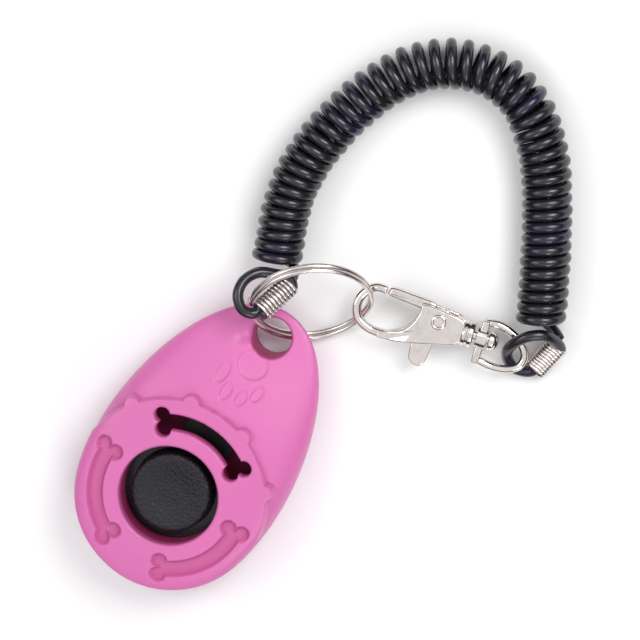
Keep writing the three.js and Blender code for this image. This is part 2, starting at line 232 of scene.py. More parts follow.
def joined(*surfaces):
    """Several surfaces as one, with the face numbers of each moved past the points before it."""
    points, faces, start = [], [], 0
    for places, sides in surfaces:
        points.append(places)
        faces += [[i + start for i in face] for face in sides]
        start += len(places)
    return np.vstack(points), faces


def sweep(path, section, across, closed=False):
    """Section carried along a path; its first axis is square to the path and to `across`."""
    path = np.asarray(path, float)
    if closed:
        along = unit(np.roll(path, -1, 0) - np.roll(path, 1, 0))
    else:
        along = unit(np.gradient(path, axis=0))
    side = unit(np.cross(np.broadcast_to(across, path.shape), along))
    up = np.cross(along, side)
    section = np.broadcast_to(section, (len(path),) + np.shape(section)[-2:])
    grid = path[:, None] + section[..., :1] * side[:, None] + section[..., 1:] * up[:, None]
    return lattice(grid, close_rows=closed, close_cols=True, lids=(not closed, not closed))


def rounded_ends(path, radius, depth=0.35):
    """Scale of a round section along its path: a quarter circle down to about half at both ends."""
    s = np.concatenate([[0], np.cumsum(np.linalg.norm(np.diff(path, axis=0), axis=1))])
    near = np.minimum(s, s[-1] - s)
    t = np.clip(1 - near / (depth * radius), 0, 1)
    return 0.55 + 0.45 * np.sqrt(1 - t * t)


def wire(path, radius, sides, across):
    """Round section with rounded ends carried along a path."""
    return sweep(path, oval(sides, radius, radius)[None] * rounded_ends(path, radius)[:, None, None], across)


def turned(profile, sides):
    """Profile of (radius, height) spun round +Z, from a point on the axis to another."""
    profile = np.asarray(profile, float)
    a = 2 * np.pi * np.arange(sides) / sides
    r = np.maximum(profile[:, :1], 1e-4)
    z = np.broadcast_to(profile[:, 1:], (len(profile), sides))
    grid = np.stack([r * np.cos(a), r * np.sin(a), z], -1)
    return lattice(grid, close_cols=True, lids=(True, True))


def soft_corners(outline, rounds=3, keep=0.25):
    """Closed outline with each corner cut back by a quarter of its sides, several times over."""
    p = np.asarray(outline, float)
    for _ in range(rounds):
        after = np.roll(p, -1, 0)
        p = np.stack([p + keep * (after - p), after - keep * (after - p)], 1).reshape(-1, 2)
    return p


def slab(outline, low, high, edge, count=120, steps=5):
    """Plate of an outline: straight sides, and both rims rolled in by a quarter circle."""
    p = np.asarray(outline, float)
    area = 0.5 * np.sum(p[:, 0] * np.roll(p[:, 1], -1) - p[:, 1] * np.roll(p[:, 0], -1))
    p = p if area > 0 else p[::-1]
    p = even(np.vstack([p, p[:1]]), count + 1)[:-1]
    along = unit(np.roll(p, -1, 0) - np.roll(p, 1, 0))
    inward = np.stack([-along[:, 1], along[:, 0]], -1)
    a = np.linspace(0, np.pi / 2, steps)
    inset = np.concatenate([edge * (1 - np.sin(a)), edge * (1 - np.cos(a))])
    z = np.concatenate([low + edge * (1 - np.cos(a)), high - edge * (1 - np.sin(a))])
    flat = p[None] + inset[:, None, None] * inward[None]
    grid = np.concatenate([flat, np.broadcast_to(z[:, None, None], flat.shape[:2] + (1,))], -1)
    return lattice(grid, close_cols=True, lids=(True, True))


def moved(surface, turn=(0, 0, 0), to=(0, 0, 0)):
    """Surface turned about X, then Y, then Z, in degrees, and shifted."""
    m = np.array(Matrix.Rotation(np.radians(turn[2]), 3, "Z") @ Matrix.Rotation(np.radians(turn[1]), 3, "Y")
                 @ Matrix.Rotation(np.radians(turn[0]), 3, "X"))
    return surface[0] @ m.T + np.asarray(to, float), surface[1]


def placed(surface):
    """From the clasp's own axes to the model's: dipped about Y, turned about Z, moved to its rivet."""
    return moved(surface, (0, CLASP_DIP, CLASP_TURN), CLASP_AT)


def linked(name, points, faces):
    """New mesh object in the scene, from points in millimetres and the faces between them."""
    mesh = bpy.data.meshes.new(name)
    mesh.from_pydata((points * MM).tolist(), [], faces)
    made = bpy.data.objects.new(name, mesh)
    bpy.context.scene.collection.objects.link(made)
    return made


def smooth(mesh, sharp=None):
    """Shades every face smooth, except across edges turned by more than an angle in degrees."""
    mesh.polygons.foreach_set("use_smooth", np.ones(len(mesh.polygons), bool))
    if sharp:
        mesh.set_sharp_from_angle(angle=np.radians(sharp))


def piece(name, surface, body, nodes, finish, sharp=None):
    """Mesh object of a surface, riding on a body in place of CAD nodes, with its material."""
    made = linked(name, *surface)
    made.data.validate()
    smooth(made.data, sharp)
    made.data.materials.append(finish)
    made.data.update()
    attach(made, body)
    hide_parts(*nodes)
    return made


# ---- casing ----

def egg(angle, inset=0.0):
    """Outline at an angle from +Y: the half width w0 + w1 c + w2 c^2 grows towards the button end."""
    c = np.cos(angle)
    w0, w1, w2 = EGG_WIDTHS
    return np.stack([np.sin(angle) * (w0 + w1 * c + w2 * c * c - inset), (EGG_HALF - inset) * c], -1)


def reach(xy, inset=0.0):
    """How far out a place lies between the egg's middle, 0, and its outline, 1."""
    table = egg(np.linspace(-np.pi, np.pi, 4001), inset)
    heading = np.unwrap(np.arctan2(table[:, 0], table[:, 1]))
    radius = np.hypot(table[:, 0], table[:, 1])
    x, y = xy[..., 0], xy[..., 1] - EGG_MIDDLE
    return np.hypot(x, y) / np.interp(np.arctan2(x, y), heading, radius)


def dome(xy, power, top, tip, inset=0.0):
    """Superellipse height over the seam: (1 - reach^power)^(1/power) of a crown that falls to the tip."""
    out = np.clip(reach(xy, inset), 0, 1)
    crown = top - (top - tip) * ease((xy[..., 1] - TOP_SLOPE[0]) / (TOP_SLOPE[1] - TOP_SLOPE[0])) - inset
    return SEAM_Z + (1 - out ** power) ** (1 / power) * (crown - SEAM_Z)


def belly(xy, inset=0.0):
    """Height of the back: the same superellipse downwards, cut flat where the casing rests."""
    out = np.clip(reach(xy, inset), 0, 1)
    base = BACK_LOW + TIP_RISE * ease((xy[..., 1] - BACK_SLOPE[0]) / (BACK_SLOPE[1] - BACK_SLOPE[0])) + inset
    down = SEAM_Z - (1 - out ** BODY_POWER) ** (1 / BODY_POWER) * (SEAM_Z - base)
    return np.maximum(down, 0.0 if not inset else FLOOR_Z)


def bone_distance(xy, heading):
    """Distance to a dog-bone outline, less than 0 inside: an arc-shaped bar joined to two lobes an end."""
    r = np.hypot(xy[..., 0], xy[..., 1])
    turn = np.degrees(np.arctan2(xy[..., 1], xy[..., 0])) - heading
    turn = np.radians((turn + 180) % 360 - 180)
    half = np.radians(BONE_HALF)
    over = (np.abs(turn) - half) * BONE_R
    bar = np.maximum(np.abs(r - BONE_R) - BONE_BAR / 2, over)
    for side in (-1, 1):
        lobe_r = BONE_R + side * BONE_SPREAD
        away = np.sqrt(np.maximum(r * r + lobe_r ** 2 - 2 * r * lobe_r * np.cos(np.abs(turn) - half), 0))
        bar = np.minimum(bar, away - BONE_LOBE)
    return bar


def plateau_distance(xy):
    """Distance to the round plateau joined to the small tabs along its edge, less than 0 inside."""
    found = np.hypot(xy[..., 0], xy[..., 1]) - PLATEAU_R
    for a in np.radians(TABS):
        tab = np.hypot(xy[..., 0] - TAB_RING_R * np.cos(a), xy[..., 1] - TAB_RING_R * np.sin(a)) - TAB_R
        found = np.minimum(found, tab)
    return found


def pads_distance(xy):
    """Distance to the nearest of the paw's rounded pads, as a scaled ellipse: (|p / half| - 1) half."""
    found = np.full(xy.shape[:-1], 9.0)
    for x, y, wide, long, heading in PADS:
        h = np.radians(heading)
        u = (xy[..., 0] - x) * np.cos(h) + (xy[..., 1] - y) * np.sin(h)
        v = (xy[..., 1] - y) * np.cos(h) - (xy[..., 0] - x) * np.sin(h)
        found = np.minimum(found, (np.hypot(u / wide, v / long) - 1) * min(wide, long))
    return found


def soft_min(a, b, blend):
    """Lower of two heights, with the crease between them rounded over `blend`."""
    h = np.clip(0.5 + 0.5 * (b - a) / blend, 0, 1)
    return b * (1 - h) + a * h - blend * h * (1 - h)


def mouth(xy, z, way, level, heading):
    """Height near the ring hole: a small quarter-circle rim, worn to a wide one where the ring lies."""
    x, y = xy[..., 0], xy[..., 1] - HOLE_Y
    r = np.hypot(x, y)
    roll = np.clip(HOLE_R + HOLE_RIM - r, 0, HOLE_RIM)
    small = z - way * (HOLE_RIM - np.sqrt(HOLE_RIM ** 2 - roll ** 2))
    roll = np.clip(HOLE_R + HOLE_FLARE - r, 0, HOLE_FLARE)
    wide = level - way * (HOLE_FLARE - np.sqrt(HOLE_FLARE ** 2 - roll ** 2))
    wide = wide + way * np.maximum(r - HOLE_R - HOLE_FLARE, 0) * 0.9
    wide = way * soft_min(way * z, way * wide, 0.7)
    near = ease((np.cos(np.arctan2(y, x) - np.radians(heading)) - 0.35) / 0.5)
    return small + (wide - small) * near


def front_height(xy, sizes):
    """Top of the casing: dome, raised plateau, rounded slots, sunk bones and paw, flared ring hole."""
    body = dome(xy, BODY_POWER, SHOULDER_Z, TIP_Z)
    raised = np.maximum(dome(xy, PLATEAU_POWER, TOP_Z, TOP_Z), body)
    groove_deep, groove_out, groove_wide = GROOVE
    edge = plateau_distance(xy)
    z = body + (raised - body) * ease(0.5 - edge / PLATEAU_STEP)
    groove = np.exp(-((edge - groove_out) / groove_wide) ** 2)
    z = z - groove_deep * groove * ease((raised - body) / groove_wide)
    for heading, through in BONES:
        d = bone_distance(xy, heading)
        if through:
            z = z - SLOT_RIM * (1 - np.sqrt(1 - np.clip(1 - (d + 0.02) / SLOT_RIM, 0, 1) ** 2))
        else:
            z = z - sizes.bone_depth / MM * ease(0.5 - (d + 0.18) / BONE_STEP)
    z = z - sizes.paw_depth / MM * ease(0.5 - pads_distance(xy) / PAD_STEP)
    z = mouth(xy, z, 1, HOLE_HIGH, RING_OVER)
    return np.maximum(z, SEAM_Z + SEAM_GAP / 2)


def back_height(xy):
    """Back of the casing, with the lower mouth of the ring hole rolled in."""
    return np.minimum(mouth(xy, belly(xy), -1, HOLE_LOW, RING_UNDER), SEAM_Z - SEAM_GAP / 2)


def rays(count):
    """Unit directions from the button's centre to evenly spaced outline angles, and their reach."""
    rim = egg(2 * np.pi * np.arange(count) / count) + [0, EGG_MIDDLE]
    far = np.linalg.norm(rim, axis=-1)
    return rim / far[:, None], far


def ring_rows(directions, radii, heights):
    """Rows of a lattice at the given radii and heights along the directions."""
    shape = (len(heights), len(directions))
    radii, heights = (np.broadcast_to(v[:, None] if v.ndim == 1 else v, shape)
                      for v in (np.asarray(radii, float), np.asarray(heights, float)))
    return np.concatenate([directions[None] * radii[..., None], heights[..., None]], -1)


def crowded(inner):
    """Shares of the way out, carried on from the inner ones to 1 and drawn together towards it."""
    last = inner[-1]
    return np.concatenate([inner, last + (1 - last) * (1 - np.linspace(1, 0, 41)[1:] ** 2.6)])


def front_shell(sizes):
    """Closed lattice in rows from the opening's wall, over the top, down the side and back inside."""
    directions, far = rays(430)
    fillet = sizes.opening_fillet / MM
    a = np.linspace(0, np.pi / 2, 9)
    wall_z = np.concatenate([np.linspace(COLLAR_Z, TOP_Z - fillet, 9)[:-1],
                             TOP_Z - fillet + fillet * np.sin(a)])
    wall_r = np.concatenate([np.full(8, OPENING_R), OPENING_R + fillet * (1 - np.cos(a))])
    rows = [ring_rows(directions, wall_r, wall_z)]
    seam = SEAM_Z + SEAM_GAP / 2
    start = OPENING_R + fillet
    radii = start + crowded(np.linspace(0, 0.93, 134)[1:])[:, None] * (far - start)
    z = front_height(directions[None] * radii[..., None], sizes)
    z[-1] = seam
    rows.append(ring_rows(directions, radii, z))
    inner_far = far - WALL - CAVITY_GAP
    share = 1 - np.linspace(0, 1, 14) ** 2
    radii = COLLAR_R + share[:, None] * (inner_far - COLLAR_R)
    flat = directions[None] * radii[..., None]
    z = np.minimum(dome(flat, BODY_POWER, SHOULDER_Z, TIP_Z, WALL), CEILING_Z)
    z = np.where(flat[..., 1] > CAVITY_END_Y, SEAM_Z, z)
    z[0] = SEAM_Z
    rows.append(ring_rows(directions, radii, np.maximum(z, seam)))
    rows.append(ring_rows(directions, [COLLAR_R], [COLLAR_Z]))
    return lattice(np.concatenate(rows), close_rows=True, close_cols=True)


def back_shell():
    """Closed lattice: flat back and sides outside, cavity floor inside, joined along the seam."""
    directions, far = rays(360)
    top = SEAM_Z - SEAM_GAP / 2
    radii = crowded(np.linspace(0.001, 0.9, 110))[:, None] * far
    z = back_height(directions[None] * radii[..., None])
    z[-1] = top
    outside = ring_rows(directions, radii, z)
    radii = (1 - np.linspace(0, 1, 24)[:-1] ** 2)[:, None] * (far - WALL - CAVITY_GAP)
    flat = directions[None] * radii[..., None]
    z = np.where(flat[..., 1] > CAVITY_END_Y, top, np.minimum(belly(flat, WALL), top))
    z[0] = top
    inside = ring_rows(directions, radii, z)
    return lattice(np.concatenate([outside, inside]), close_cols=True, flip=True, lids=(True, True))


def bone_cutters(heading):
    """Upright prisms that make up a dog-bone: an arc-shaped bar, and a round bar at each lobe."""
    a = np.radians(heading + np.linspace(-BONE_HALF, BONE_HALF, 97))
    ray = np.stack([np.cos(a), np.sin(a)], -1)
    near, far = BONE_R - BONE_BAR / 2, BONE_R + BONE_BAR / 2
    corners = [(near, CUT_LOW), (far, CUT_LOW), (far, CUT_HIGH), (near, CUT_HIGH)]
    bar = np.stack([np.concatenate([ray * r, np.full((len(a), 1), z)], -1) for r, z in corners], 1)
    made = [lattice(bar, close_cols=True, flip=True, lids=(True, True))]
    for end in (-BONE_HALF, BONE_HALF):
        for side in (-1, 1):
            b, r = np.radians(heading + end), BONE_R + side * BONE_SPREAD
            lobe = round_bar(BONE_LOBE, CUT_LOW, CUT_HIGH, 64)
            made.append(moved(lobe, to=(r * np.cos(b), r * np.sin(b), 0)))
    return made


def cut(target, surface):
    """Takes a closed surface out of a piece with a Boolean, then drops the cutter."""
    cutter = linked("cutter", *surface)
    mesh = cutter.data
    step = target.modifiers.new("cut", "BOOLEAN")
    step.operation, step.solver, step.object = "DIFFERENCE", "MANIFOLD", cutter
    bpy.context.view_layer.update()
    made = bpy.data.meshes.new_from_object(target.evaluated_get(bpy.context.evaluated_depsgraph_get()))
    target.modifiers.clear()
    old, target.data = target.data, made
    made.name = target.name
    bpy.data.meshes.remove(old)
    bpy.data.objects.remove(cutter)
    bpy.data.meshes.remove(mesh)


def round_bar(radius, low, high, sides):
    """Upright cylinder on the Z axis between two heights."""
    return turned([(0, low), (radius, low), (radius, high), (0, high)], sides)


def hole_cutter():
    """Round bar through the ring hole."""
    return moved(round_bar(HOLE_R + 0.04, -3, CUT_HIGH, 96), to=(0, HOLE_Y, 0))


def button_cap():
    """Turned cap: stem, flange, slightly tapered side, rolled rim and a dished top."""
    rim = np.linspace(0, np.pi / 2, 9)
    dish = np.linspace(0, 1, 26)
    profile = [(0, 5.2), (2.6, 5.2), (2.6, 6.6), (11.9, 6.6), (11.9, 7.8), (8.85, 7.8), (8.72, 8.1)]
    profile += [(8.7 - 0.2 * t, 8.1 + 3.2 * t) for t in np.linspace(0.1, 0.95, 6)]
    profile += list(zip(7.6 + 0.9 * np.cos(rim), 11.3 + 0.9 * np.sin(rim)))
    profile += list(zip(7.6 * (1 - dish[1:]), 12.2 - 0.75 * ease(1.35 * dish[1:])))
    return turned(profile, 144)


# ---- ring and cord ----

def key_ring():
    """Two turns of wire side by side; each lies flat but for a short stretch that crosses over."""
    turns = np.linspace(RING_ENDS, 2 - RING_ENDS, 500)
    crossing = np.floor(turns) + ease((turns % 1 - RING_CROSSING[0]) / RING_CROSSING[1])
    a = 2 * np.pi * turns + np.radians(RING_START)
    flat = np.stack([RING_R * np.cos(a), RING_R * np.sin(a), (crossing - 1) * RING_PITCH], -1)
    h = np.radians(RING_TURN)
    lean = np.array(Matrix.Rotation(np.radians(RING_TILT), 3, (-np.sin(h), np.cos(h), 0)))
    path = flat @ lean.T + np.asarray(RING_CENTRE)
    return wire(path, RING_WIRE, 16, lean @ [0, 0, 1])


def cord_path(sizes):
    """The cord's centreline end to end, and the direction each stretch winds about.

    Left stub, crimp and loop; then a helix of sizes.turns turns about the planar route, whose turns
    lie a cord apart on the legs and wider over the arch; then the right loop, crimp and stub.
    """
    route = smooth_path([(x, y, COIL_Z) for x, y in COIL_ROUTE], 4000)
    s = np.linspace(0, 1, len(route))
    (rise, rise_wide), (fall, fall_wide) = ARCH_START, ARCH_END
    pitch = 1 + ARCH_SPREAD * ease((s - rise) / rise_wide) * ease((fall - s) / fall_wide)
    turns = np.concatenate([[0], np.cumsum(1 / pitch[:-1])])
    turns *= sizes.turns / turns[-1]
    at = np.linspace(0, sizes.turns, int(sizes.turns * COIL_STEPS))
    spot = np.stack([np.interp(np.interp(at, turns, s), s, route[:, k]) for k in range(3)], -1)
    along = unit(np.gradient(spot, axis=0))
    side = unit(np.cross(along, (0, 0, 1)))
    r = (sizes.coil_outside - sizes.cord) / 2 / MM
    a = sizes.hand * 2 * np.pi * at + np.radians(sizes.first_angle)
    swell = 1 + 0.012 * np.sin(1.7 * at) + 0.008 * np.sin(0.61 * at + 1)
    helix = spot + r * swell[:, None] * (np.cos(a)[:, None] * side + np.sin(a)[:, None] * [0, 0, 1])
    left = end_loop(LEFT_CRIMP, LEFT_LOOP, helix[[7, 10, 13]])
    right = end_loop(RIGHT_CRIMP, RIGHT_LOOP, helix[[-8, -11, -14]])[::-1]
    helix, along = helix[14:-14], along[14:-14]
    path = np.concatenate([left, helix, right])
    axis = np.concatenate([np.broadcast_to(along[0], left.shape), along,
                           np.broadcast_to(along[-1], right.shape)])
    return path, axis


def end_loop(crimp, loop, coil_end):
    """Cut end, up through the crimp, round the eye, back through the crimp and on to the coil."""
    low, high = np.asarray(crimp[0], float), np.asarray(crimp[1], float)
    along = unit(high - low)
    aside = unit(np.cross(along, CRIMP_FACE))
    knots = [low - along * 0.9 + aside, (low + high) / 2 + aside, high - along * 0.2 + aside, *loop,
             low - aside + along * 0.6, high - aside, high - aside * 0.7 + along * 1.2, *coil_end]
    return smooth_path(knots, 170)


def wound_crimp(ends, wide, high, taper):
    """Flat-wound wire ferrule: an oval helix along a straight line that narrows to one end."""
    low, up = np.asarray(ends[0], float), np.asarray(ends[1], float)
    along = unit(up - low)
    side = unit(np.cross(CRIMP_FACE, along))
    normal = np.cross(along, side)
    t = np.linspace(0, 1, int(CRIMP_TURNS * 36))
    a = 2 * np.pi * CRIMP_TURNS * t
    shrink = (1 - (1 - taper) * t)[:, None]
    path = low + t[:, None] * (up - low) + shrink * ((wide - CRIMP_WIRE) * np.cos(a)[:, None] * side
                                                     + (high - CRIMP_WIRE) * np.sin(a)[:, None] * normal)
    return wire(path, CRIMP_WIRE, 12, along)


# ---- clasp ----

def level(points):
    """Flat points as places on the plane z = 0."""
    return [(x, y, 0) for x, y in points]


def on_swivel(profile, sides):
    """Profile spun round the swivel's axis, which runs the clasp's long way."""
    return moved(turned(profile, sides), (0, 90, 0), (0, SWIVEL_Y, 0))


def clasp_body():
    """Hook of soft-square section, two cheeks with a web between them, and the grooved collar."""
    hook = smooth_path(level(HOOK), 180)
    taper = rounded_ends(hook, 1.2)
    hook = sweep(hook, oval(20, 0.97, 1.03, 2.3)[None] * taper[:, None, None], (0, 0, 1.0))
    outline = soft_corners(PLATE, 3, 0.14)
    upper = slab(outline, GATE_HALF + CHEEK_GAP, PLATE_HALF, 0.42, 200, 7)
    lower = slab(outline, -PLATE_HALF, -GATE_HALF - CHEEK_GAP, 0.42, 200, 7)
    for cheek in (upper, lower):
        cheek[0][:, 2] *= 1 - 0.55 * ease((-4.5 - cheek[0][:, 0]) / 5.5)
    web = slab(soft_corners([(3.2, 2.1), (5.6, 1.9), (5.6, -3.3), (3.2, -3.9)], 2, 0.1), -1.6, 1.6, 0.1, 60)
    profile = [(0, 5.1), (2.2, 5.1), (2.75, 5.25), (2.9, 5.45), (2.9, 6.1), (2.62, 6.25), (2.62, 6.55),
               (2.9, 6.7), (2.9, 7.35), (2.7, 7.62), (2.3, 7.7), (0, 7.7)]
    return placed(joined(hook, upper, lower, web, on_swivel(profile, 64)))


def clasp_gate():
    """Spring-loaded bar, its thumb tab with a rolled rim, and the hub on the rivet."""
    bar = slab(soft_corners(BAR, 3, 0.12), -GATE_HALF, GATE_HALF, 0.62, 120, 8)
    tab = slab(soft_corners(TAB, 3, 0.2), -GATE_HALF, GATE_HALF, 0.38, 120, 7)
    profile = [(0, -GATE_HALF), (2.2, -GATE_HALF), (2.3, -1), (2.3, 1), (2.2, GATE_HALF), (0, GATE_HALF)]
    hub = turned(profile, 48)
    return placed(joined(bar, tab, hub))


def gate_rivet():
    """Hollow rivet: a rolled ring round a sunk bore, the same below."""
    high = PLATE_HALF + 0.34
    rim = np.linspace(0, np.pi, 11)
    profile = [(0, -high), (0.9, -high), (1.55, -PLATE_HALF - 0.1), (0.85, -PLATE_HALF), (0.85, PLATE_HALF)]
    profile += [(1.62, PLATE_HALF + 0.02)]
    profile += list(zip(1.3 + 0.32 * np.cos(rim), PLATE_HALF + 0.04 + 0.3 * np.sin(rim)))
    profile += [(0.8, PLATE_HALF - 0.2), (0.72, PLATE_HALF - 0.55), (0, PLATE_HALF - 0.6)]
    return placed(turned(profile, 48))


def swivel_post():
    """Shank and mushroom head of the swivel, turned about the clasp's long axis."""
    profile = [(0, 7.6), (1.15, 7.6), (1.15, 10.75), (1.9, 10.85), (2.1, 11.05), (2.12, 11.6), (2.0, 12.0),
               (1.7, 12.45), (1.1, 12.85), (0.5, 13), (0, 13.02)]
    return placed(on_swivel(profile, 48))


def swivel_bail():
    """Bow of wire on a flat eye bar, with a raised boss where the post goes through."""
    bow = smooth_path(level(BOW), 160)
    bow = sweep(bow, oval(16, 0.85, 0.85), (0, 0, 1.0))
    outline = soft_corners([(8.6, 3.15), (10.3, 3.15), (10.3, -6.2), (8.6, -6.2)], 2, 0.1)
    bar = slab(outline, -1.75, 1.75, 0.4, 140, 7)
    boss = on_swivel([(0, 8.2), (2.25, 8.2), (2.4, 8.35), (2.4, 10.4), (2.2, 10.55), (0, 10.55)], 48)
    return placed(joined(bow, bar, boss))


# ---- materials ----

def put(node, **values):
    """Sets a node's sockets by name, with an underscore for each space."""
    for socket, value in values.items():
        node.inputs[socket.replace("_", " ")].default_value = value


def shader(name, colour, roughness, metallic=0.0, **sockets):
    """New node material with one Principled shader and its Object coordinates."""
    made = bpy.data.materials.new(name)
    made.use_nodes = True
    made.diffuse_color = (*colour, 1)
    tree = made.node_tree
    principled = tree.nodes["Principled BSDF"]
    put(principled, Base_Color=(*colour, 1), Roughness=roughness, Metallic=metallic, **sockets)
    return made, tree, principled, tree.nodes.new("ShaderNodeTexCoord").outputs["Object"]


def noise(tree, coordinate, scale, detail=3.0, roughness=0.5, stretch=None):
    """Noise texture on a coordinate, stretched along an axis if asked."""
    if stretch:
        mapping = tree.nodes.new("ShaderNodeMapping")
        put(mapping, Scale=stretch)
        tree.links.new(coordinate, mapping.inputs["Vector"])
        coordinate = mapping.outputs["Vector"]
    texture = tree.nodes.new("ShaderNodeTexNoise")
    put(texture, Scale=scale, Detail=detail, Roughness=roughness)
    tree.links.new(coordinate, texture.inputs["Vector"])
    return texture.outputs["Fac"]


def spread(tree, value, low, high, start=0.3, end=0.7):
    """Value from start..end stretched to low..high."""
    ranged = tree.nodes.new("ShaderNodeMapRange")
    put(ranged, From_Min=start, From_Max=end, To_Min=low, To_Max=high)
    tree.links.new(value, ranged.inputs["Value"])
    return ranged.outputs["Result"]


def blend(tree, factor, first, second):
    """Colour mixed from one to another by a factor; either may be a colour or a socket."""
    mix = tree.nodes.new("ShaderNodeMix")
    mix.data_type = "RGBA"
    tree.links.new(factor, mix.inputs["Factor"])
    for socket, colour in (("A", first), ("B", second)):
        target = next(i for i in mix.inputs if i.name == socket and i.type == "RGBA")
        if isinstance(colour, bpy.types.NodeSocket):
            tree.links.new(colour, target)
        else:
            target.default_value = (*colour, 1)
    return next(o for o in mix.outputs if o.type == "RGBA")


def bump(tree, heights, principled):
    """Chain of bumps: each height socket with its strength and depth, the last on the shader."""
    normal = None
    for height, strength, distance in heights:
        node = tree.nodes.new("ShaderNodeBump")
        put(node, Strength=strength, Distance=distance)
        tree.links.new(height, node.inputs["Height"])
        if normal:
            tree.links.new(normal, node.inputs["Normal"])
        normal = node.outputs["Normal"]
    tree.links.new(normal, principled.inputs["Normal"])


def scaled(colour, amount):
    """Colour times an amount."""
    return tuple(min(1.0, c * amount) for c in colour)


def pink_plastic(colours):
    """Moulded plastic: faint flow marks and fine satin grain."""
    base = tuple(colours.pink)
    made, tree, principled, place = shader("pink moulded plastic", base, 0.42, Coat_Weight=0.12,
                                                   Coat_Roughness=0.25, Specular_IOR_Level=0.42)
    put(principled, Subsurface_Weight=0.12, Subsurface_Radius=(1.0, 0.35, 0.6), Subsurface_Scale=0.0015)
    flow = noise(tree, place, 60, 4, 0.55, (1, 0.45, 1))
    tone = blend(tree, spread(tree, flow, 0, 1), scaled(base, 0.965), scaled(base, 1.03))
    # Painted shade: the point attribute darkens the pink down the walls of the opening, slot, ring hole and
    # bones, and in the cavity.
    wall = tree.nodes.new("ShaderNodeAttribute")
    wall.attribute_name = "painted_shade"
    tone = blend(tree, wall.outputs["Fac"], tone, tuple(colours.pink_wall_shade))
    tree.links.new(tone, principled.inputs["Base Color"])
    grain = noise(tree, place, 2600, 3, 0.6)
    smudge = noise(tree, place, 180, 4, 0.6)
    tree.links.new(spread(tree, smudge, 0.36, 0.5), principled.inputs["Roughness"])
    bump(tree, [(smudge, 0.06, 0.0003), (grain, 0.16, 0.00003)], principled)
    return made


def black_button(colours):
    """Black plastic: leather grain on the pressed face, smooth sides."""
    base = tuple(colours.black)
    made, tree, principled, place = shader("black grained plastic", base, 0.42,
                                                   Specular_IOR_Level=0.36)
    cells = tree.nodes.new("ShaderNodeTexVoronoi")
    put(cells, Scale=1500)
    tree.links.new(place, cells.inputs["Vector"])
    split = tree.nodes.new("ShaderNodeSeparateXYZ")
    tree.links.new(place, split.inputs["Vector"])
    face = spread(tree, split.outputs["Z"], 0, 1, 0.0108, 0.0114)
    fine = noise(tree, place, 1500, 4, 0.6)
    grain = tree.nodes.new("ShaderNodeMath")
    grain.operation = "MULTIPLY"
    tree.links.new(cells.outputs["Distance"], grain.inputs[0])
    tree.links.new(face, grain.inputs[1])
    tone = blend(tree, spread(tree, fine, 0, 1), scaled(base, 0.8), scaled(base, 1.4))
    tree.links.new(tone, principled.inputs["Base Color"])
    tree.links.new(spread(tree, face, 0.2, 0.46, 0, 1), principled.inputs["Roughness"])
    bump(tree, [(grain.outputs["Value"], 0.9, 0.0002), (fine, 0.15, 0.00004)], principled)
    return made


def black_cord(colours):
    """Glossy vinyl: long draw marks, faint violet patches, small smears in the gloss."""
    base = tuple(colours.cord)
    made, tree, principled, place = shader("black vinyl cord", base, 0.22, Specular_IOR_Level=0.5,
                                                   Coat_Weight=0.25, Coat_Roughness=0.12)
    patch = noise(tree, place, 75, 3, 0.55)
    tone = blend(tree, spread(tree, patch, 0, 1, 0.5, 0.72), base, tuple(colours.cord_violet))
    tree.links.new(tone, principled.inputs["Base Color"])
    smear = noise(tree, place, 420, 4, 0.6)
    tree.links.new(spread(tree, smear, 0.16, 0.36), principled.inputs["Roughness"])
    draw = noise(tree, place, 900, 3, 0.5)
    bump(tree, [(smear, 0.12, 0.0002), (draw, 0.1, 0.00005)], principled)
    return made


def bright_metal(name, base, low, high, wave, fine, scale=900):
    """Plated metal: slow cast waves, fine scratches, patchy polish and slight tarnish."""
    made, tree, principled, place = shader(name, base, low, 1.0)
    patch = noise(tree, place, 320, 4, 0.6)
    tone = blend(tree, spread(tree, patch, 0, 1, 0.4, 0.75), base, scaled(base, 0.84))
    tree.links.new(tone, principled.inputs["Base Color"])
    scratch = noise(tree, place, scale, 5, 0.65, (1, 3.2, 1))
    tree.links.new(spread(tree, scratch, low, high), principled.inputs["Roughness"])
    slow = noise(tree, place, 240, 2, 0.4)
    bump(tree, [(slow, wave, 0.0004), (scratch, fine, 0.00003)], principled)
    return made


# ---- settings ----

class ClickerSizes(bpy.types.PropertyGroup):
    """Sizes a user may change."""
    cord: FloatProperty(name="Cord", description="Thickness of the wrist cord", default=0.0023,
                        min=0.001, max=0.004, unit="LENGTH")
    coil_outside: FloatProperty(name="Coil outside", description="Outside diameter of the spiral",
                                default=0.0105, min=0.006, max=0.02, unit="LENGTH")
    turns: FloatProperty(name="Turns", description="Turns of the spiral, one crimp to the other",
                         default=47.47, min=20, max=60)
    first_angle: FloatProperty(name="First turn", description="Where the first turn starts, in degrees",
                               default=20, min=-360, max=360)
    hand: IntProperty(name="Hand", description="-1 winds like a right-handed screw, 1 the other way",
                      default=-1, min=-1, max=1)
    opening_fillet: FloatProperty(name="Opening rim", description="Radius of the button opening's rolled rim",
                                  default=0.0007, min=0.0001, max=0.002, unit="LENGTH")
    bone_depth: FloatProperty(name="Bone depth", description="Depth of the two sunk bones",
                              default=0.0015, min=0.0002, max=0.002, unit="LENGTH")
    paw_depth: FloatProperty(name="Paw depth", description="Depth of the sunk paw pads",
                             default=0.00034, min=0.0, max=0.001, unit="LENGTH")


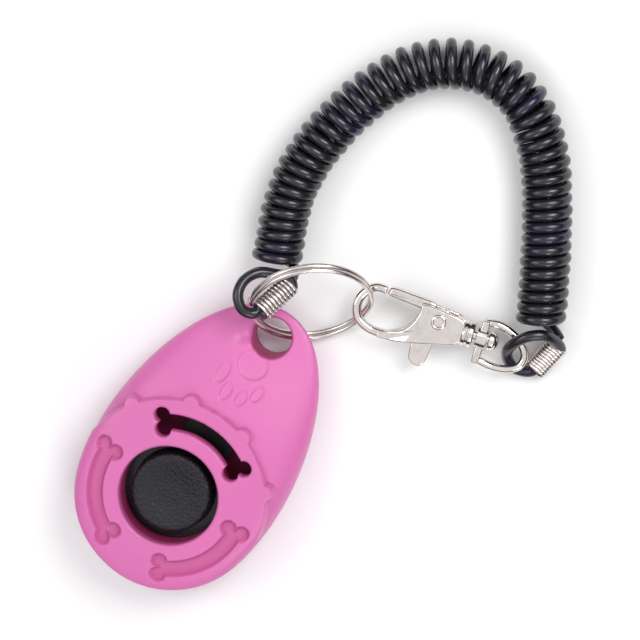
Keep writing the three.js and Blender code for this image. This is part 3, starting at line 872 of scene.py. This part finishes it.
class ClickerColours(bpy.types.PropertyGroup):
    """Colours a user may change."""
    pink: FloatVectorProperty(name="Pink", description="Casing plastic", subtype="COLOR", size=3,
                              default=(0.65, 0.152, 0.41), min=0, max=1)
    # Painted shade: a darker pink laid down the walls of the opening, slot, ring hole and sunk bones, and
    # inside the cavity, where shade falls.
    pink_wall_shade: FloatVectorProperty(name="Painted wall shade", description="Painted shade down the casing's inner walls",
                                   subtype="COLOR", size=3, default=(0.34, 0.02, 0.1), min=0, max=1)
    black: FloatVectorProperty(name="Black", description="Button plastic", subtype="COLOR", size=3,
                               default=(0.009, 0.008, 0.012), min=0, max=1)
    cord: FloatVectorProperty(name="Cord", description="Wrist cord vinyl", subtype="COLOR", size=3,
                              default=(0.009, 0.009, 0.013), min=0, max=1)
    cord_violet: FloatVectorProperty(name="Cord tint", description="Tint of the wrist cord's patches",
                                     subtype="COLOR", size=3, default=(0.014, 0.011, 0.04), min=0, max=1)
    nickel: FloatVectorProperty(name="Nickel", description="Plating of the clasp and ring", subtype="COLOR",
                                size=3, default=(0.80, 0.735, 0.705), min=0, max=1)
    steel: FloatVectorProperty(name="Steel", description="Spring leaf and gate spring", subtype="COLOR",
                               size=3, default=(0.55, 0.57, 0.6), min=0, max=1)


class ClickerStage(bpy.types.PropertyGroup):
    """Lights and floor."""
    key: FloatProperty(name="Key light", description="Power of the large soft light, in watts",
                       default=1.9, min=0)
    sky: FloatProperty(name="Sky", description="Strength of the even surrounding light",
                       default=0.92, min=0)


def finish(kind):
    """The shared material of a kind, made when first asked for."""
    names = {"pink": "pink moulded plastic", "button": "black grained plastic", "cord": "black vinyl cord",
             "nickel": "bright nickel plate", "wire": "nickel wire", "steel": "spring steel",
             "blued": "blued spring steel"}
    found = bpy.data.materials.get(names[kind])
    if found:
        return found
    colours = bpy.context.scene.clicker_colours
    nickel, steel = tuple(colours.nickel), tuple(colours.steel)
    makers = {
        "pink": lambda: pink_plastic(colours),
        "button": lambda: black_button(colours),
        "cord": lambda: black_cord(colours),
        "nickel": lambda: bright_metal(names["nickel"], nickel, 0.07, 0.16, 0.2, 0.1),
        "wire": lambda: bright_metal(names["wire"], scaled(nickel, 0.98), 0.14, 0.28, 0.08, 0.14, 1400),
        "steel": lambda: bright_metal(names["steel"], steel, 0.24, 0.4, 0.05, 0.2),
        "blued": lambda: bright_metal(names["blued"], scaled(steel, 0.12), 0.3, 0.5, 0.05, 0.2),
    }
    return makers[kind]()


# ---- operators ----

class CLICKER_OT_stage(bpy.types.Operator):
    """Makes the camera, the soft lights and the pale floor"""
    bl_idname = "clicker.stage"
    bl_label = "Stage"

    def execute(self, context):
        scene = context.scene
        stage = scene.clicker_stage
        data = bpy.data.cameras.new("camera")
        data.lens, data.sensor_width = LENS, SENSOR
        data.clip_start, data.clip_end = 0.02, 20.0
        scene.camera = stood(data, CAMERA_RIGHT, CAMERA_UP, CAMERA_BACK,
                             CAMERA_TARGET + CAMERA_BACK * VIEW_WIDTH * LENS / SENSOR)

        far, low = FLOOR_HALF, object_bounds()[0].z / MM - FLOOR_DROP
        corners = np.array([(-far, -far, low), (far, -far, low), (far, far, low), (-far, far, low)])
        floor = linked("floor", corners, [(0, 1, 2, 3)])
        grey = (FLOOR_GREY,) * 3
        made, tree, principled, place = shader("pale floor", grey, 0.9, Specular_IOR_Level=0.1)
        tone = blend(tree, noise(tree, place, 3), grey, (FLOOR_GREY + 0.02,) * 3)
        tree.links.new(tone, principled.inputs["Base Color"])
        floor.data.materials.append(made)
        floor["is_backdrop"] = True

        for name, offset, size, power in LAMPS:
            light = bpy.data.lights.new(name, "AREA")
            light.shape, light.size, light.size_y = "RECTANGLE", size, size
            light.energy = stage.key * power
            offset = offset[0] * CAMERA_RIGHT + offset[1] * CAMERA_UP + offset[2] * CAMERA_BACK
            away = unit(offset)
            side = unit(np.cross([0.0, 1.0, 0.0], away))
            stood(light, side, np.cross(away, side), away, CAMERA_TARGET + offset)

        world = bpy.data.worlds.new("soft room")
        world.use_nodes = True
        nodes, links = world.node_tree.nodes, world.node_tree.links
        sky = nodes["Background"]
        put(sky, Strength=stage.sky)
        coordinate = nodes.new("ShaderNodeTexCoord")
        split = nodes.new("ShaderNodeSeparateXYZ")
        links.new(coordinate.outputs["Generated"], split.inputs["Vector"])
        ramp = nodes.new("ShaderNodeValToRGB")
        stops = ramp.color_ramp.elements
        stops[0].position, stops[0].color = 0.0, (0.6, 0.6, 0.6, 1)
        stops[1].position, stops[1].color = 1.0, (1, 1, 1, 1)
        for position, grey in SKY_BANDS:
            stop = stops.new(position)
            stop.color = (grey, grey, grey * 1.02, 1)
        links.new(split.outputs["Z"], ramp.inputs["Fac"])
        links.new(ramp.outputs["Color"], sky.inputs["Color"])
        scene.world = world
        scene.view_settings.view_transform = "Standard"
        return {"FINISHED"}


def stood(data, right, up, back, spot):
    """Camera or lamp in the scene, at a spot, whose own X, Y and Z run right, up and back."""
    made = bpy.data.objects.new(data.name, data)
    turn = np.stack([right, up, back], -1).tolist()
    made.matrix_world = Matrix([[*row, place] for row, place in zip(turn, spot.tolist())] + [[0, 0, 0, 1]])
    bpy.context.scene.collection.objects.link(made)
    return made


class CLICKER_OT_wrist_cord(bpy.types.Operator):
    """Winds the spiral wrist cord with the loop at each end"""
    bl_idname = "clicker.wrist_cord"
    bl_label = "Wrist cord"

    def execute(self, context):
        sizes = context.scene.clicker_sizes
        path, axis = cord_path(sizes)
        cord = piece("wrist_cord", wire(path, sizes.cord / 2 / MM, 14, axis), "strap",
                     ("wrist_coil", "left_loop", "right_loop"), finish("cord"))
        crimps = [piece(name + "_wire", wound_crimp(ends, wide, high, taper), "strap", (name,),
                        finish("wire")) for name, ends, wide, high, taper in CRIMPS]
        return {"FINISHED"}


class CLICKER_OT_casing(bpy.types.Operator):
    """Moulds the two shells, with the opening, bones, paw and ring hole"""
    bl_idname = "clicker.casing"
    bl_label = "Casing"

    def execute(self, context):
        sizes = context.scene.clicker_sizes
        front = piece("front_casing", front_shell(sizes), "casing", ("front_shell",),
                      finish("pink"))
        for cutter in (*bone_cutters(BONES[0][0]), hole_cutter()):
            cut(front, cutter)
        back = piece("back_casing", back_shell(), "casing", ("back_shell",), finish("pink"))
        cut(back, hole_cutter())
        for shell in (front, back):
            mesh = shell.data
            smooth(mesh, 50)
            places = np.empty(len(mesh.vertices) * 3)
            mesh.vertices.foreach_get("co", places)
            places = places.reshape(-1, 3) / MM
            # Painted shade: weights that the pink material uses to darken the walls and the cavity.
            painted_shade = mesh.attributes.new("painted_shade", "FLOAT", "POINT")
            painted_shade.data.foreach_set("value", shade_weight(places))
        return {"FINISHED"}


def shade_weight(places):
    """Weight of the painted shade on the casing: 0 on the open surface, up to 1 down the opening, the slot,
    the ring hole and the cavity.
    """
    flat, z = places[:, :2], places[:, 2]
    well = ease((OPENING_R + 0.5 - np.hypot(flat[:, 0], flat[:, 1])) / 0.5) * ease((TOP_Z - 0.4 - z) / 3.5)
    slot = ease(-(bone_distance(flat, BONES[0][0]) - 0.08) / 0.1) * ease((TOP_Z - 0.3 - z) / 2)
    hole = ease((HOLE_R + 0.7 - np.hypot(flat[:, 0], flat[:, 1] - HOLE_Y)) / 0.6)
    under = dome(flat, BODY_POWER, SHOULDER_Z, TIP_Z) - z
    inside = ((reach(flat, WALL) < 1) & (z > FLOOR_Z - 0.1) & (z < CEILING_Z + 0.05)
              & (flat[:, 1] < CAVITY_END_Y) & (under > 1.2))
    # a weaker painted shade in the two sunk bones
    sunk = [0.36 * ease(-bone_distance(flat, heading) / 0.5) for heading, through in BONES if not through]
    return np.maximum.reduce([well, slot, hole * 0.85, inside * 1.0, *sunk])


class CLICKER_OT_button(bpy.types.Operator):
    """Turns the dished push button"""
    bl_idname = "clicker.button"
    bl_label = "Button"

    def execute(self, context):
        piece("push_button", button_cap(), "button", ("button_cap",), finish("button"), 50)
        return {"FINISHED"}


class CLICKER_OT_key_ring(bpy.types.Operator):
    """Bends the two-turn split ring"""
    bl_idname = "clicker.key_ring"
    bl_label = "Key ring"

    def execute(self, context):
        piece("split_ring", key_ring(), "ring", ("key_ring",), finish("wire"))
        return {"FINISHED"}


class CLICKER_OT_clasp(bpy.types.Operator):
    """Casts the swivel clasp: hook, gate, rivet, post and bail"""
    bl_idname = "clicker.clasp"
    bl_label = "Swivel clasp"

    def execute(self, context):
        for name, surface, body, node in (
                ("clasp_hook", clasp_body, "clasp", "clasp_body"),
                ("thumb_gate", clasp_gate, "gate", "clasp_gate"),
                ("hollow_rivet", gate_rivet, "clasp", "gate_rivet"),
                ("post_head", swivel_post, "clasp", "swivel_post"),
                ("bail_bow", swivel_bail, "bail", "swivel_bail")):
            piece(name, surface(), body, (node,), finish("nickel"), 40)
        return {"FINISHED"}


class CLICKER_OT_springs(bpy.types.Operator):
    """Gives the hidden click leaf, its rivets and the gate spring their finish"""
    bl_idname = "clicker.springs"
    bl_label = "Springs"

    def execute(self, context):
        for node, kind in (("click_leaf", "blued"), ("leaf_rivet_left", "nickel"),
                           ("leaf_rivet_right", "nickel"), ("gate_spring", "steel")):
            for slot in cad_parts[node].material_slots:
                slot.link = "OBJECT"
                slot.material = finish(kind)
        return {"FINISHED"}


class CLICKER_PT_panel(bpy.types.Panel):
    """Lists the pieces and their settings"""
    bl_label = "Clicker trainer"
    bl_idname = "CLICKER_PT_panel"
    bl_space_type = "VIEW_3D"
    bl_region_type = "UI"
    bl_category = "Clicker"

    def draw(self, context):
        for attribute, _ in GROUPS:
            group = getattr(context.scene, attribute)
            box = self.layout.box()
            for name in group.__annotations__:
                box.prop(group, name)
        for step in STEPS:
            self.layout.operator(step.bl_idname)


STEPS = (CLICKER_OT_stage, CLICKER_OT_wrist_cord, CLICKER_OT_casing, CLICKER_OT_button, CLICKER_OT_key_ring,
         CLICKER_OT_clasp, CLICKER_OT_springs)
GROUPS = (("clicker_sizes", ClickerSizes), ("clicker_colours", ClickerColours),
          ("clicker_stage", ClickerStage))


def register():
    """Registers the settings, the operators and the panel."""
    for name, group in GROUPS:
        bpy.utils.register_class(group)
        setattr(bpy.types.Scene, name, PointerProperty(type=group))
    for shown in (*STEPS, CLICKER_PT_panel):
        bpy.utils.register_class(shown)


def unregister():
    """Takes everything back out, last first."""
    for shown in reversed((*STEPS, CLICKER_PT_panel)):
        bpy.utils.unregister_class(shown)
    for name, group in reversed(GROUPS):
        delattr(bpy.types.Scene, name)
        bpy.utils.unregister_class(group)


def main():
    """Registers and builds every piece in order."""
    register()
    for step in STEPS:
        group, name = step.bl_idname.split(".")
        if getattr(getattr(bpy.ops, group), name)() != {"FINISHED"}:
            raise RuntimeError(step.bl_label + " was not finished")


if __name__ == "__main__":
    main()
